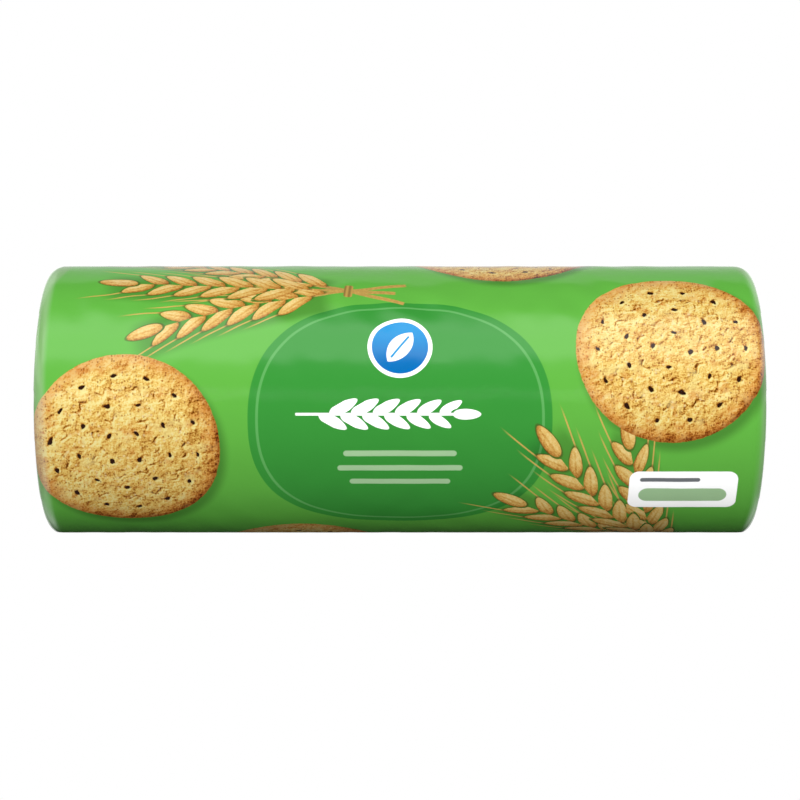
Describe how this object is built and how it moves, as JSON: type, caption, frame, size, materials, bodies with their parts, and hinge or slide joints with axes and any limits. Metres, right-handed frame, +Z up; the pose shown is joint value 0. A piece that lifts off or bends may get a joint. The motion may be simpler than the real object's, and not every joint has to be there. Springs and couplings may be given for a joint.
{
  "type": "biscuit roll pack",
  "caption": "Shut film roll of round biscuits lying on its side, with pleated end folds and a flat seam along its back.",
  "frame": {"origin": "middle of the narrow flat that the roll rests on, under the middle of its length", "axes": "+X along the roll, +Z up, the main print faces -Y and the back seam faces +Y"},
  "size_m": [0.184, 0.0704, 0.0691],
  "materials": {
    "printed_film": "glossy clear-coated printed film in two greens with tan biscuit shapes"
  },
  "bodies": {
    "root": {"biscuit_roll": "printed_film"}
  },
  "joints": []
}
